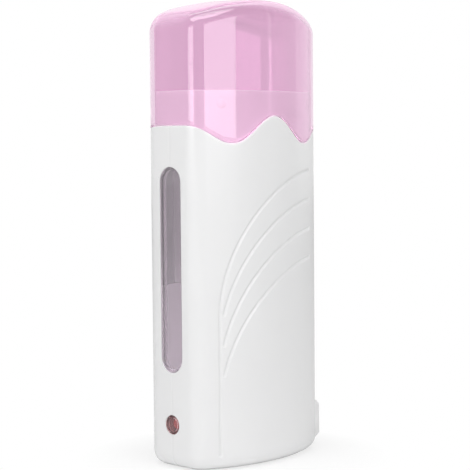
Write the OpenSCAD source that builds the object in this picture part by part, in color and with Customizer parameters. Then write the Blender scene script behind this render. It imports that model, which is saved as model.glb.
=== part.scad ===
// Handheld roll-on wax warmer: two half shells, a lift-off cap and a heated bay.
// Millimetres. +Z is up, the origin is the centre of the flat base, the level window
// and the pilot light face -X, the mains inlet faces +X and the wide faces are +Y and -Y.

/* [Body] */
// Height from the base to the crest of the wave under the cap
body_h = 130.9; // [126:0.1:145]
// Width across the two narrow faces
body_w = 67.5; // [66:0.1:72]
// Depth across the two wide faces
body_d = 43.9; // [43.2:0.1:47]
// Radius of the crowned wide faces
wide_r = 62; // [56:1:75]
// Radius of the nearly flat narrow faces
narrow_r = 120; // [90:5:300]
// Radius of the four upright corners
corner_r = 9; // [8:0.5:11]
// Wall of the two shells
shell_wall = 2; // [1.6:0.1:2.2]
// Round of the edge under the base
foot_r = 5.2; // [4:0.1:6.5]

/* [Wave under the cap] */
// Drop from the crest to the two dips
wave_drop = 10.2; // [6:0.1:12]
// Distance of each dip from the middle of the wide face
wave_dip_x = 19; // [16:0.5:21]
// Rise from a dip to the narrow face
wave_end_rise = 7.4; // [4:0.1:9]
// Gap between the cap and the shoulder
seam_gap = 0.3; // [0.2:0.05:0.5]

/* [Cap and neck] */
// Height of the cap above the crest of the wave
cap_h = 44.1; // [40:0.1:52]
// Wall of the cap
cap_wall = 1.8; // [1.4:0.1:2]
// Fall of the cap's top towards the narrow faces
cap_crown = 7.6; // [4:0.1:9]
// Fall of the cap's top towards the wide faces
cap_side_crown = 1.7; // [0.5:0.1:3]
// Round of the cap's top edge
cap_edge_r = 5.5; // [4:0.1:6.5]
// Clearance between the cap and the neck
cap_gap = 0.3; // [0.25:0.05:0.4]
// Height of the neck above the crest of the wave
neck_rise = 9.4; // [7:0.1:12]
// Wall of the neck
neck_wall = 1.5; // [1.2:0.1:1.7]
// How far each grip nub stands out of the neck
nub_h = 0.2; // [0.1:0.05:0.25]
// Distance of each grip nub from the middle of the wide face
nub_x = 23; // [18:0.5:25]

/* [Level window] */
// Width of the window
window_w = 11.3; // [9:0.1:13]
// Height of the window's lower end above the base
window_z = 35.8; // [34:0.1:45]
// Distance from the window's upper end up to the dips of the wave
window_drop = 8.4; // [7:0.1:20]
// Clearance round the window lens
lens_gap = 0.1; // [0.05:0.05:0.2]
// Thickness of the lens's face
lens_t = 1.5; // [1.2:0.1:1.7]
// Width of the flange behind the wall
lens_flange = 1.6; // [1:0.1:2]

/* [Pilot light] */
// Height of the pilot light above the base
pilot_z = 16.4; // [14:0.1:18]
// Diameter of its hole
pilot_d = 7.4; // [6.5:0.1:8.5]
// Diameter of the lamp behind it
led_d = 5; // [3:0.5:5]
// Length of the lamp
led_len = 8.6; // [7:0.1:9.5]

/* [Relief lines] */
// Number of curved lines on each wide face
line_count = 4; // [1:1:5]
// Step in height from one line to the next
line_step = 11.2; // [8:0.1:12]
// Width of a line
line_w = 1.2; // [0.8:0.1:1.6]
// Depth of a line
line_depth = 0.4; // [0.2:0.05:0.6]
// Width of the quarter ellipse that each line follows
line_a = 51.7; // [46:0.1:51.9]
// Height of that quarter ellipse
line_b = 54.6; // [45:0.1:60]
// Top of the first line above the base
line_top = 110.3; // [105:0.1:112]
// Where the lines reach their top, from the middle of the face
line_x = 26.8; // [24:0.1:27]
// Where the lines' upper ends are, from the middle of the face
line_end_x = 23.4; // [20:0.1:23.8]

/* [Cartridge bay] */
// Distance from the outside of the body in to the bay
bay_inset = 6.2; // [6:0.1:6.5]
// Wall of the bay's sleeve
sleeve_wall = 1.2; // [1:0.1:1.3]
// Height of the bay's floor above the base
bay_floor = 31; // [30.5:0.1:33]
// Height of the bay's rim flange
rim_t = 1.4; // [1:0.1:2]
// How far the rim lies under the top of the neck
rim_drop = 1.2; // [0.5:0.1:3]

/* [Heaters] */
// Width of a heating plate
plate_w = 40; // [34:0.5:42]
// Height of a heating plate
plate_h = 50; // [46:0.5:51]
// Distance from the heating plates' upper edge up to the dips of the wave
plate_drop = 2.7; // [1.5:0.1:4]
// Thickness of a heating plate
plate_t = 0.8; // [0.6:0.1:1]
// Clearance round a heating plate
plate_gap = 0.2; // [0.1:0.05:0.3]
// Width of a heating element
ptc_w = 14; // [11:0.5:14]
// Height of a heating element
ptc_h = 24; // [20:0.5:26]
// Thickness of a heating element
ptc_t = 1.6; // [1.2:0.1:1.8]
// Thickness of the insulating film
film_t = 0.2; // [0.1:0.05:0.25]
// Thickness of the spring clip
clip_t = 0.4; // [0.3:0.05:0.5]
// Width of the spring clip
clip_w = 8; // [6:0.5:8]

/* [Inlet] */
// Height of the inlet's middle above the base
inlet_z = 10.1; // [9.9:0.1:11]
// Width of the collar round the inlet
collar_w = 20; // [18.5:0.1:21]
// Height of the collar round the inlet
collar_h = 16.2; // [15.5:0.1:16.5]
// How far the collar stands out of the narrow face
collar_out = 3.4; // [2.5:0.1:4.5]
// Width of the plug's recess
recess_w = 15.8; // [15.6:0.1:16]
// Height of the plug's recess
recess_h = 8.2; // [8:0.1:8.4]
// Depth of the plug's recess
recess_depth = 13; // [12:0.1:14]
// Spacing of the two pins
pin_pitch = 8.6; // [8.4:0.1:8.8]
// Diameter of a pin
pin_d = 2.4; // [2.2:0.05:2.6]
// Length of a pin inside the recess
pin_len = 9; // [8:0.1:10]

/* [Fasteners and wires] */
// Distance of each shell screw from the narrow face
screw_inset = 23.75; // [23.3:0.05:24.2]
// Height of the shell screws above the base
screw_z = 12; // [11:0.1:13]
// Diameter of a screw's thread
screw_d = 2.8; // [2.2:0.1:3]
// Diameter of a screw's head
screw_head_d = 5.4; // [4.6:0.1:5.6]
// Diameter of the insulated wires
wire_d = 1.6; // [1.2:0.1:1.6]
// Diameter of the bare component leads
lead_d = 0.7; // [0.5:0.05:0.8]
// Length of the thermal fuse's case
fuse_len = 11; // [9:0.5:12]
// Diameter of the thermal fuse's case
fuse_d = 4; // [3:0.1:4.4]

/* [Hidden] */
$fn = 64;
far = 200;

white = "whitesmoke";
metal = "silver";
black = "dimgray";

// Segments along the quarter of the narrow face, the corner and the wide face
narrow_n = 3;
corner_n = 7;
wide_n = 5;

// Heights that follow from the body
dip_z = body_h - wave_drop;
cap_top = body_h + cap_h;
neck_top = body_h + neck_rise;
window_top = dip_z - window_drop;
shoulder_z = dip_z - 4;
wave_reach = body_w / 2 - wave_dip_x + 2.75;

// Distances from the outside of the body to its inner layers
neck_out = cap_wall + cap_gap;
neck_in = neck_out + neck_wall;
sleeve_out = bay_inset - sleeve_wall;
bay_top = neck_top - rim_drop;
shelf_top = bay_floor - sleeve_wall;

// Stack on each heating plate, measured from the middle of the bay
pad_margin = 4;
pad_y = body_d / 2 - bay_inset + plate_t + 0.3;
ptc_y = pad_y + film_t;
clip_y = ptc_y + ptc_t + film_t;
plate_z = dip_z - plate_drop - plate_h;
ptc_z = plate_z + (plate_h - ptc_h) / 2;
clip_foot = 4;

// Places along X
led_gap = 0.5;
led_lift = 3.5;
face_x = body_w / 2;
collar_x = face_x + collar_out;
recess_x = collar_x - recess_depth;
insert_x = recess_x - 2.2;
pin_tail = 2.2;
pin_step = 0.5;
tail_x = insert_x - pin_tail;
insert_t = 1.3;
insert_gap = 0.1;
insert_flange = 1.5;
insert_flange_t = 2;
screw_x = face_x - screw_inset;
led_tip_x = -face_x + lens_t + led_gap;
board_t = 1.6;
board_x = led_tip_x + led_len + led_lift;
board_w = 26;
board_z = [5, 26];
rib_t = 1.2;
slot_gap = 0.15;

// Points of an arc, without its last one
function arc(c, r, a0, a1, n) =
    [for (i = [0:n - 1]) let (a = a0 + (a1 - a0) * i / n) c + r * [cos(a), sin(a)]];

// Centres of the wide, narrow and corner arcs of the body's section
wide_c = [0, body_d / 2 - wide_r];
narrow_c = [body_w / 2 - narrow_r, 0];
corner_c =
    let (ra = wide_r - corner_r, rb = narrow_r - corner_r, d = narrow_c - wide_c, l = norm(d),
         e = d / l, x = (ra * ra - rb * rb + l * l) / (2 * l), h = sqrt(ra * ra - x * x))
    wide_c + x * e + h * [e.y, -e.x];
wide_a = atan2(corner_c.y - wide_c.y, corner_c.x - wide_c.x);
narrow_a = atan2(corner_c.y - narrow_c.y, corner_c.x - narrow_c.x);

// Outline of the body's section, drawn in by a distance
function quarter(inset) = concat(
    arc(narrow_c, narrow_r - inset, 0, narrow_a, narrow_n),
    arc(corner_c, corner_r - inset, narrow_a, wide_a, corner_n),
    arc(wide_c, wide_r - inset, wide_a, 90, wide_n),
    [[0, body_d / 2 - inset]]);
function section(inset) = let (q = quarter(inset), n = len(q) - 1) concat(
    [for (i = [0:n - 1]) q[i]],
    [for (i = [n:-1:1]) [-q[i].x, q[i].y]],
    [for (i = [0:n - 1]) -q[i]],
    [for (i = [n:-1:1]) [q[i].x, -q[i].y]]);
function ring(inset, z) = [for (p = section(inset)) [p.x, p.y, z]];
function wide_y(x, inset) = sqrt(pow(wide_r - inset, 2) - x * x) + wide_c.y;

// Height of the wave at a distance from the middle of the wide face
function wave_z(x) = abs(x) < wave_dip_x
    ? dip_z + wave_drop * (1 + cos(180 * abs(x) / wave_dip_x)) / 2
    : dip_z + wave_end_rise
        * (1 - cos(min(180, 180 * (abs(x) - wave_dip_x) / wave_reach))) / 2;

// Height of the cap's top surface over a point of the plan
function crown_z(p) = cap_top - cap_crown * pow(p.x / (body_w / 2), 2)
    - cap_side_crown * pow(p.y / (body_d / 2), 2);

// Solid through a stack of rings, closed by a point at each end
module skin(rings, low, high) {
    n = len(rings[0]);
    k = len(rings);
    polyhedron(
        points = concat([for (r = rings) each r], [low, high]),
        faces = concat(
            [for (i = [0:n - 1]) [k * n, i, (i + 1) % n]],
            [for (j = [0:k - 2], i = [0:n - 1]) [j * n + i, j * n + n + i, j * n + n + (i + 1) % n]],
            [for (j = [0:k - 2], i = [0:n - 1]) [j * n + i, j * n + n + (i + 1) % n, j * n + (i + 1) % n]],
            [for (i = [0:n - 1]) [k * n + 1, (k - 1) * n + (i + 1) % n, (k - 1) * n + i]]));
}

// Rings of a rounded lower edge
function foot_rings(inset, z, r, n) =
    [for (i = [0:n]) ring(inset + r * (1 - sin(90 * i / n)), z + r * (1 - cos(90 * i / n)))];

// Prism of the section, drawn in by a distance
module prism(inset, z0, z1) {
    translate([0, 0, z0]) linear_extrude(z1 - z0) polygon(section(inset));
}

// Layer between two insets
module layer(outer, inner, z0, z1) {
    difference() {
        prism(outer, z0, z1);
        prism(inner, z0 - 1, z1 + 1);
    }
}

// Everything under the wave
module below_wave(shift) {
    reach = body_w / 2 + 4;
    n = 56;
    xs = [for (i = [0:n]) reach * (2 * i / n - 1)];
    rotate([90, 0, 0]) linear_extrude(far, center = true)
        polygon(concat([for (x = xs) [x, wave_z(x) + shift]], [[reach, -5], [-reach, -5]]));
}

// Upright slot with round ends, along X
module slot_x(w, z0, z1, x0, x1) {
    translate([x0, 0, 0]) rotate([90, 0, 90]) linear_extrude(x1 - x0) {
        translate([0, z0 + w / 2]) circle(d = w);
        translate([0, z1 - w / 2]) circle(d = w);
        translate([-w / 2, z0 + w / 2]) square([w, z1 - z0 - w]);
    }
}

// Cylinder along X and along Y
module rod_x(d, x0, x1) {
    translate([x0, 0, 0]) rotate([0, 90, 0]) cylinder(d = d, h = x1 - x0);
}
module rod_y(d, y0, y1) {
    translate([0, y1, 0]) rotate([90, 0, 0]) cylinder(d = d, h = y1 - y0);
}

// Block given by two corners
module block(a, b) {
    translate(a) cube(b - a);
}

// Route with its corners rounded
function unit(v) = v / norm(v);
function rounded(path, r) = concat([path[0]],
    [for (i = [1:len(path) - 2]) let (p = path[i], a = p + r * unit(path[i - 1] - p),
        b = p + r * unit(path[i + 1] - p)) each
        [for (t = [0:1 / 3:1]) pow(1 - t, 2) * a + 2 * t * (1 - t) * p + t * t * b]],
    [path[len(path) - 1]]);

// Round wire along a route
module wire(path, d, bend) {
    p = rounded(path, bend);
    k = len(p);
    n = 8;
    t = [for (i = [0:k - 1]) unit(unit(p[min(i + 1, k - 1)] - p[max(i - 1, 0)]))];
    rings = [for (i = [0:k - 1]) let (u = unit(cross(t[i], [1, 1, 1])), v = cross(t[i], u))
        [for (j = [0:n - 1]) p[i] + d / 2 * (cos(360 * j / n) * u - sin(360 * j / n) * v)]];
    skin(rings, p[0], p[k - 1]);
}

// One relief line: a quarter ellipse, and on the first a straight run down to the base
function line_path(i) = let (
    z0 = line_top - line_b - i * line_step,
    last = i == 0 ? 90 : 76,
    first = asin((line_x - line_end_x) / line_a),
    n = 14)
    concat(
        [for (k = [0:n]) let (t = first + (last - first) * k / n)
            [line_x - line_a * sin(t), z0 + line_b * cos(t)]],
        i == 0 ? [[line_x - line_a, foot_r + 0.6]] : []);
function side_of(path, w) = [for (i = [0:len(path) - 1]) let (
    t = unit(path[min(i + 1, len(path) - 1)] - path[max(i - 1, 0)]))
    path[i] + w / 2 * [-t.y, t.x]];
function reversed(v) = [for (i = [len(v) - 1:-1:0]) v[i]];
function turned(v) = [-v.y, v.x];
// Half circle that ends a line, from its one side round to the other
function round_end(p, t, w) =
    [for (a = [-60:30:60]) p + w / 2 * (cos(a) * t + sin(a) * turned(t))];

module relief_line(i) {
    p = line_path(i);
    k = len(p) - 1;
    rotate([90, 0, 0]) linear_extrude(far, center = true)
        polygon(concat(
            round_end(p[0], unit(p[0] - p[1]), line_w),
            side_of(p, -line_w),
            round_end(p[k], unit(p[k] - p[k - 1]), line_w),
            reversed(side_of(p, line_w))));
}

module relief_lines() {
    intersection() {
        layer(-1, line_depth, foot_r, shoulder_z);
        union() for (i = [0:line_count - 1]) relief_line(i);
    }
}

// Space inside the two shells
module cavity() {
    step = neck_in - shell_wall;
    skin(concat(
        foot_rings(shell_wall, shell_wall, foot_r - shell_wall, 4),
        [ring(shell_wall, shoulder_z), ring(neck_in, shoulder_z + step),
            ring(neck_in, neck_top + 1)]),
        [0, 0, shell_wall], [0, 0, neck_top + 1]);
}

// Outside of the closed body with its neck
module body_block() {
    intersection() {
        skin(concat(foot_rings(0, 0, foot_r, 6), [ring(0, body_h + 2)]),
            [0, 0, 0], [0, 0, body_h + 2]);
        below_wave(-seam_gap / 2);
    }
    skin([ring(neck_out, shoulder_z), ring(neck_out, neck_top - 0.5),
        ring(neck_out + 0.5, neck_top)], [0, 0, shoulder_z], [0, 0, neck_top]);
    collar_block();
}

// Collar round the inlet, chamfered under its lower end
module collar_block() {
    z0 = inlet_z - collar_h / 2;
    z1 = inlet_z + collar_h / 2;
    x0 = face_x - foot_r;
    intersection() {
        rotate([90, 0, 0]) linear_extrude(collar_w, center = true)
            polygon([[x0, z1], [collar_x - 1, z1], [collar_x, z1 - 1.4], [collar_x, z0 + 3],
                [face_x - 0.4, z0], [x0, z0]]);
        translate([x0, 0, 0]) rotate([90, 0, 90]) linear_extrude(far)
            rounded_plate(collar_w, collar_h + 1, 3, inlet_z);
    }
}

// Rectangle with round corners, in the plane of Y and Z
module rounded_plate(w, h, r, z) {
    for (y = [-1, 1], k = [-1, 1])
        translate([y * (w / 2 - r), z + k * (h / 2 - r)]) circle(r);
    translate([-w / 2, z - h / 2 + r]) square([w, h - 2 * r]);
    translate([-w / 2 + r, z - h / 2]) square([w - 2 * r, h]);
}

// Flat-sided outline of the inlet insert and of the recess in it
module insert_hole(extra, x0, x1) {
    w = recess_w + 2 * insert_t + 2 * extra;
    h = recess_h + 2 * insert_t + 2 * extra;
    translate([x0, 0, 0]) rotate([90, 0, 90]) linear_extrude(x1 - x0)
        rounded_plate(w, h, 2 + extra, inlet_z);
}

module front_half() {
    block([-far, -far, -far], [far, 0, far]);
}
module rear_half() {
    block([-far, 0, -far], [far, far, far]);
}

// What both shells share
module shell_walls() {
    difference() {
        body_block();
        cavity();
        relief_lines();
        window_slot(0, -far, -face_x + shell_wall + 1);
        translate([0, 0, pilot_z]) rod_x(pilot_d, -far, -face_x + shell_wall + 1);
        insert_hole(insert_gap, face_x - foot_r - 1, far);
    }
}

// Pair of ribs on each shell that hold a plate standing across the body
module slot_ribs(x, t, y, z0, z1) {
    intersection() {
        prism(shell_wall - 0.5, z0, z1);
        for (rib_x = [x - rib_t - slot_gap, x + t + slot_gap]) difference() {
            block([rib_x, -far, 0], [rib_x + rib_t, far, far]);
            block([rib_x - 1, -y, -1], [rib_x + rib_t + 1, y, far + 1]);
        }
    }
}

// Pads that carry the bay, slots for the board and the inlet, and grip nubs on the neck
shelf_x = face_x - corner_r - 0.75;
shelf_w = 12;
module shell_ribs() {
    intersection() {
        layer(shell_wall - 0.5, bay_inset + 1.5, shelf_top - 2, shelf_top);
        for (x = [-shelf_x, shelf_x - shelf_w]) block([x, -far, 0], [x + shelf_w, far, far]);
    }
    slot_ribs(board_x, board_t, board_w / 2 - 1, board_z[0], board_z[1]);
    slot_ribs(insert_x, insert_flange_t, recess_w / 2 + insert_t + 0.8, inlet_z - 5, inlet_z + 5);
    difference() {
        for (x = [-1, 1], y = [-1, 1]) let (r = 8, a = asin(nub_x / wide_r),
            c = wide_c + (wide_r - neck_out - r + nub_h) * [sin(a), cos(a)])
            translate([x * c.x, y * c.y, neck_top - 5]) sphere(r);
        prism(neck_out + 0.4, 0, far);
    }
}

module screw_places() {
    for (x = [-1, 1]) translate([x * screw_x, 0, screw_z]) children();
}
screw_seat = 12;
screw_reach = 10;
screw_head_t = 2;
screw_slot = 0.8;
boss_d = screw_head_d + 2.6;

module front_shell() {
    color(white) difference() {
        union() {
            intersection() {
                union() {
                    shell_walls();
                    shell_ribs();
                }
                front_half();
            }
            intersection() {
                prism(shell_wall - 0.5, 0, far);
                screw_places() rod_y(boss_d - 1.4, -far, 0);
            }
        }
        screw_places() rod_y(screw_d + 0.1, -screw_reach - 1, 1);
    }
}

module rear_shell() {
    color(white) {
        difference() {
            union() {
                intersection() {
                    union() {
                        shell_walls();
                        shell_ribs();
                    }
                    rear_half();
                }
                intersection() {
                    prism(shell_wall - 0.5, 0, far);
                    screw_places() rod_y(boss_d, 0, far);
                }
            }
            screw_places() rod_y(screw_d + 0.4, -1, far);
            screw_places() rod_y(screw_head_d + 0.6, screw_seat, far);
        }
        seam_tabs();
    }
}

// Tongues of the rear shell that reach in behind the front shell's edge
tab_reach = 3;
tab_len = 8;
tab_low = bay_floor + 13;
tab_high = shoulder_z - tab_len - 4.7;
tab_zs = [tab_low, (tab_low + tab_high) / 2, tab_high];
module seam_tabs() {
    intersection() {
        layer(shell_wall + 0.1, shell_wall + 1.3, 0, far);
        for (z = tab_zs) block([0, -tab_reach, z], [far, tab_reach, z + tab_len]);
    }
    intersection() {
        layer(shell_wall - 0.2, shell_wall + 1.3, 0, far);
        for (z = tab_zs) block([0, 0.2, z], [far, tab_reach, z + tab_len]);
    }
}

function dome_rings(inset, r, n, m) = concat(
    [for (i = [0:n]) let (t = 90 * i / n) [for (p = section(inset + r * (1 - cos(t))))
        [p.x, p.y, crown_z(p) - inset - r * (1 - sin(t))]]],
    [for (i = [m - 1:-1:1]) [for (q = section(inset + r)) let (p = q * i / m)
        [p.x, p.y, crown_z(p) - inset]]]);

module dome(inset, z0) {
    skin(concat([ring(inset, z0)], dome_rings(inset, cap_edge_r - inset, 6, 5)),
        [0, 0, z0], [0, 0, cap_top - inset]);
}

module cap() {
    color("plum", 0.6) difference() {
        dome(0, dip_z - 5);
        dome(cap_wall, dip_z - 6);
        below_wave(seam_gap / 2);
    }
}

// Slot of the window's outline, grown all round
module window_slot(grow, x0, x1) {
    slot_x(window_w + 2 * grow, window_z - grow, window_top + grow, x0, x1);
}

// Clear pane with a rim that stands back from it and a flange behind the shell's wall
lens_rim = 1;
lens_back = shell_wall + 0.05 + lens_rim;
module window_lens() {
    color("thistle", 0.5) {
        intersection() {
            layer(lens_gap, lens_t, 0, far);
            window_slot(-lens_gap, -far, 0);
        }
        intersection() {
            layer(lens_gap, lens_back, 0, far);
            difference() {
                window_slot(-lens_gap, -far, 0);
                window_slot(-lens_gap - lens_rim, -far - 1, 1);
            }
        }
        intersection() {
            layer(lens_back - lens_rim, lens_back, 0, far);
            difference() {
                window_slot(lens_flange - lens_gap, -far, 0);
                window_slot(-lens_gap - lens_rim / 2, -far - 1, 1);
            }
        }
    }
}

// Round lens with a groove inside its rim and a hollow for the lamp
pilot_groove = 0.3;
module pilot_lens() {
    r = pilot_d / 2 - lens_gap;
    flange_r = pilot_d / 2 + 1;
    lamp_r = led_d / 2 + 0.3;
    rim_r = r - pilot_groove;
    color("rosybrown", 0.7) translate([-face_x, 0, pilot_z]) rotate([0, 90, 0]) rotate_extrude()
        polygon([[0, lens_gap], [rim_r - 3 * pilot_groove, lens_gap],
            [rim_r - 2 * pilot_groove, lens_gap + pilot_groove],
            [rim_r - pilot_groove, lens_gap + pilot_groove], [rim_r, lens_gap], [r, lens_gap],
            [r, shell_wall + 0.1], [flange_r, shell_wall + 0.1], [flange_r, shell_wall + 1],
            [lamp_r, shell_wall + 1], [lamp_r, lens_t], [0, lens_t]]);
}

module pilot_led() {
    base_x = led_tip_x + led_len - 1;
    color("crimson") translate([0, 0, pilot_z]) {
        translate([led_tip_x + led_d / 2, 0, 0]) sphere(d = led_d);
        rod_x(led_d, led_tip_x + led_d / 2, base_x);
        rod_x(led_d + 0.8, base_x, base_x + 1);
        for (y = [-1.27, 1.27]) translate([0, y, 0]) rod_x(lead_d, base_x + 0.5, board_x);
    }
}

module circuit_board() {
    color("seagreen") block([board_x, -board_w / 2, board_z[0]],
        [board_x + board_t, board_w / 2, board_z[1]]);
}

// Axial component that stands on the board, its leads bent down into it
part_inset = 5;
part_lift = 0.6;
part_lead = 1.6;
module axial(z, d, len) {
    top = board_x + board_t + d / 2 + part_lift;
    end = len / 2 + part_lead;
    translate([0, 0, z]) {
        translate([top, 0, 0]) rod_y(d, -len / 2, len / 2);
        translate([top, 0, 0]) rod_y(lead_d, -end, end);
        for (s = [-1, 1]) translate([0, s * (end - lead_d / 2), 0])
            rod_x(lead_d, board_x + board_t, top);
    }
}
module board_resistor() {
    color("tan") axial(board_z[1] - part_inset, 2.5, 6.5);
}
module board_diode() {
    color(black) axial(board_z[0] + part_inset, 2.7, 5.2);
}

// Sleeve that the cartridge stands in
module cartridge_sleeve() {
    color("gainsboro") difference() {
        union() {
            prism(sleeve_out, shelf_top, bay_top);
            prism(neck_in + 0.15, bay_top - rim_t, bay_top);
        }
        prism(bay_inset, bay_floor, bay_top + 1);
        for (y = [-1, 1]) plate_window(y);
        window_slot(bay_inset - lens_back - lens_gap - lens_rim, -far, 0);
    }
}

// Opening in the sleeve for one heating plate
module plate_window(y) {
    w = plate_w / 2 + plate_gap;
    block([-w, y > 0 ? 5 : -far, plate_z - plate_gap],
        [w, y > 0 ? far : -5, plate_z + plate_h + plate_gap]);
}

// Front pieces are drawn on -Y and mirrored for the rear
module heat_plate() {
    pad_h = ptc_h + 2 * clip_foot + 2 * pad_margin;
    color(metal) difference() {
        intersection() {
            union() {
                prism(bay_inset - plate_t, plate_z, plate_z + plate_h);
                block([-ptc_w / 2 - 1, -pad_y, ptc_z + ptc_h / 2 - pad_h / 2],
                    [ptc_w / 2 + 1, 0, ptc_z + ptc_h / 2 + pad_h / 2]);
            }
            block([-plate_w / 2, -far, plate_z], [plate_w / 2, -5, plate_z + plate_h]);
        }
        prism(bay_inset, 0, far);
    }
}

module heating_element() {
    color("peru") block([-ptc_w / 2 + film_t, -ptc_y - ptc_t, ptc_z],
        [ptc_w / 2 - film_t, -ptc_y, ptc_z + ptc_h]);
}

// Film wrapped round the element, open at both ends
module insulating_film() {
    color("goldenrod") difference() {
        block([-ptc_w / 2, -clip_y, ptc_z], [ptc_w / 2, -pad_y, ptc_z + ptc_h]);
        block([-ptc_w / 2 + film_t, -ptc_y - ptc_t, ptc_z - 1],
            [ptc_w / 2 - film_t, -ptc_y, ptc_z + ptc_h + 1]);
    }
}

// Strip that holds the element against the plate
module spring_clip() {
    zm = ptc_z + ptc_h / 2;
    a = ptc_h / 2 + 0.4;
    b = a + clip_t;
    c = b + clip_foot;
    y0 = pad_y;
    y1 = pad_y + clip_t;
    y2 = clip_y;
    y3 = clip_y + clip_t;
    color(metal) translate([-clip_w / 2, 0, zm]) rotate([90, 0, 90]) linear_extrude(clip_w)
        polygon([[-y0, -c], [-y1, -c], [-y1, -b], [-y3, -b], [-y3, b], [-y1, b], [-y1, c],
            [-y0, c], [-y0, a], [-y2, a], [-y2, -a], [-y0, -a]]);
}

// Where the wires run up beside the bay, and where they meet
riser_x = clip_w / 2 + wire_d / 2 + 0.6;
riser_y = ptc_y + ptc_t / 2;
splice_z = 22;
splice_y = 8;
splice_len = 5;
splice_d = 2 * wire_d + 1.2;
splice_off = wire_d / 2 + 0.1;
live_splice_x = -splice_len - 6;
neutral_splice_x = 4;
fuse_lead = 2;
fuse_x = live_splice_x + splice_len + fuse_lead;

// Every wire leaves its joint straight for this length, then bends with this radius
stub = 2;
bend_r = 0.9;
over_z = splice_z + fuse_d / 2 + wire_d / 2 + 0.4;

// Last stretch of a heater's wire, up beside the bay to the element
function riser(x, y) = [[x, y - sign(y) * stub, over_z], [x, y, over_z + 2 * stub], [x, y, ptc_z]];

module front_heater_leads() {
    live_y = -splice_y - splice_off;
    neutral_y = splice_y - splice_off;
    color("red") wire(concat([[live_splice_x, live_y, splice_z],
        [live_splice_x - stub, live_y, splice_z],
        [live_splice_x - stub / 2, -splice_y - splice_d / 2 - wire_d, splice_z + stub / 2]],
        riser(-riser_x, -riser_y)), wire_d, bend_r);
    color("blue") wire(concat([[neutral_splice_x, neutral_y, splice_z],
        [neutral_splice_x - stub, neutral_y, splice_z], [neutral_splice_x - 1.5 * stub, stub, over_z],
        [neutral_splice_x - 1.5 * stub, -2 * stub, over_z]], riser(riser_x, -riser_y)), wire_d, bend_r);
}

module rear_heater_leads() {
    live_y = -splice_y + splice_off;
    neutral_y = splice_y + splice_off;
    color("red") wire(concat([[live_splice_x, live_y, splice_z],
        [live_splice_x - stub, live_y, splice_z], [live_splice_x - stub / 2, -1.5 * stub, over_z],
        [live_splice_x - stub / 2, splice_y, over_z]], riser(-riser_x, riser_y)), wire_d, bend_r);
    color("blue") wire(concat([[neutral_splice_x, neutral_y, splice_z],
        [neutral_splice_x - stub, neutral_y, splice_z]], riser(riser_x, riser_y)), wire_d, bend_r);
}

module inlet_insert() {
    color(white) difference() {
        union() {
            insert_hole(0, insert_x, collar_x - 0.3);
            insert_hole(insert_flange, insert_x, insert_x + insert_flange_t);
        }
        translate([recess_x, 0, 0]) rotate([90, 0, 90]) linear_extrude(far) {
            for (y = [-1, 1]) translate([y * (recess_w - recess_h) / 2, inlet_z]) circle(d = recess_h);
            translate([-(recess_w - recess_h) / 2, inlet_z - recess_h / 2])
                square([recess_w - recess_h, recess_h]);
        }
        pin_places() rod_x(pin_d - pin_step + 0.04, 0, far);
    }
}

module pin_places() {
    for (y = [-1, 1]) translate([0, y * pin_pitch / 2, inlet_z]) children();
}

module inlet_pins() {
    tip_x = recess_x + pin_len - pin_d / 2;
    color("khaki") pin_places() {
        rod_x(pin_d - pin_step, tail_x, recess_x + 1);
        rod_x(pin_d, recess_x, tip_x);
        translate([tip_x, 0, 0]) sphere(d = pin_d);
    }
}

module thermal_fuse() {
    color("lightsteelblue") translate([0, -splice_y, splice_z]) {
        rod_x(fuse_d, fuse_x, fuse_x + fuse_len);
        rod_x(lead_d, live_splice_x + splice_len, fuse_x + fuse_len + fuse_lead);
    }
}

module wire_splices() {
    color(black) {
        translate([0, -splice_y, splice_z])
            rod_x(splice_d, live_splice_x, live_splice_x + splice_len);
        translate([0, splice_y, splice_z])
            rod_x(splice_d, neutral_splice_x, neutral_splice_x + splice_len);
    }
}

// Wire from a pin up to a splice or to the fuse
board_step = 3;
riser_gap = 0.8;
module mains_lead(start, y) {
    rise_x = screw_x + boss_d / 2 + wire_d / 2 + riser_gap;
    pin_y = sign(y) * pin_pitch / 2;
    wire([[tail_x, pin_y, inlet_z], [tail_x - stub, pin_y, inlet_z],
        [rise_x, pin_y + sign(y), inlet_z + stub], [rise_x, y, splice_z - board_step],
        [start + board_step, y, splice_z], [start, y, splice_z]], wire_d, bend_r);
}

module live_lead() {
    color("red") mains_lead(fuse_x + fuse_len + fuse_lead, -splice_y);
}

module neutral_lead() {
    color("blue") mains_lead(neutral_splice_x + splice_len, splice_y);
}

module board_leads() {
    x0 = board_x + board_t;
    x1 = insert_x - 0.75 * wire_d;
    y0 = board_w / 2 - 7;
    y1 = recess_w / 2 + 1.1;
    pin_y = pin_pitch / 2 + (pin_d - pin_step) / 2;
    z0 = shell_wall + wire_d / 2 + 1;
    z1 = board_z[0] + board_step;
    for (s = [-1, 1])
        color(s < 0 ? "red" : "blue") wire([[x0, s * y0, z1], [x0 + stub, s * y0, z1],
            [x0 + 2 * board_step, s * (y0 + 1), z0], [x1 - 2 * board_step, s * y1, z0],
            [x1, s * y1, inlet_z - stub], [x1, s * (pin_y + stub), inlet_z],
            [x1, s * pin_y, inlet_z]], wire_d, bend_r);
}

module shell_screws() {
    color(metal) screw_places() difference() {
        union() {
            rod_y(screw_d, -screw_reach, screw_seat + screw_head_t / 4);
            rod_y(screw_head_d, screw_seat, screw_seat + screw_head_t);
        }
        for (a = [0, 90]) rotate([0, a, 0])
            block([-screw_head_d / 3, screw_seat + screw_head_t / 2, -screw_slot / 2],
                [screw_head_d / 3, screw_seat + 2 * screw_head_t, screw_slot / 2]);
    }
}

module front() {
    children();
}
module rear() {
    mirror([0, 1, 0]) children();
}

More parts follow.
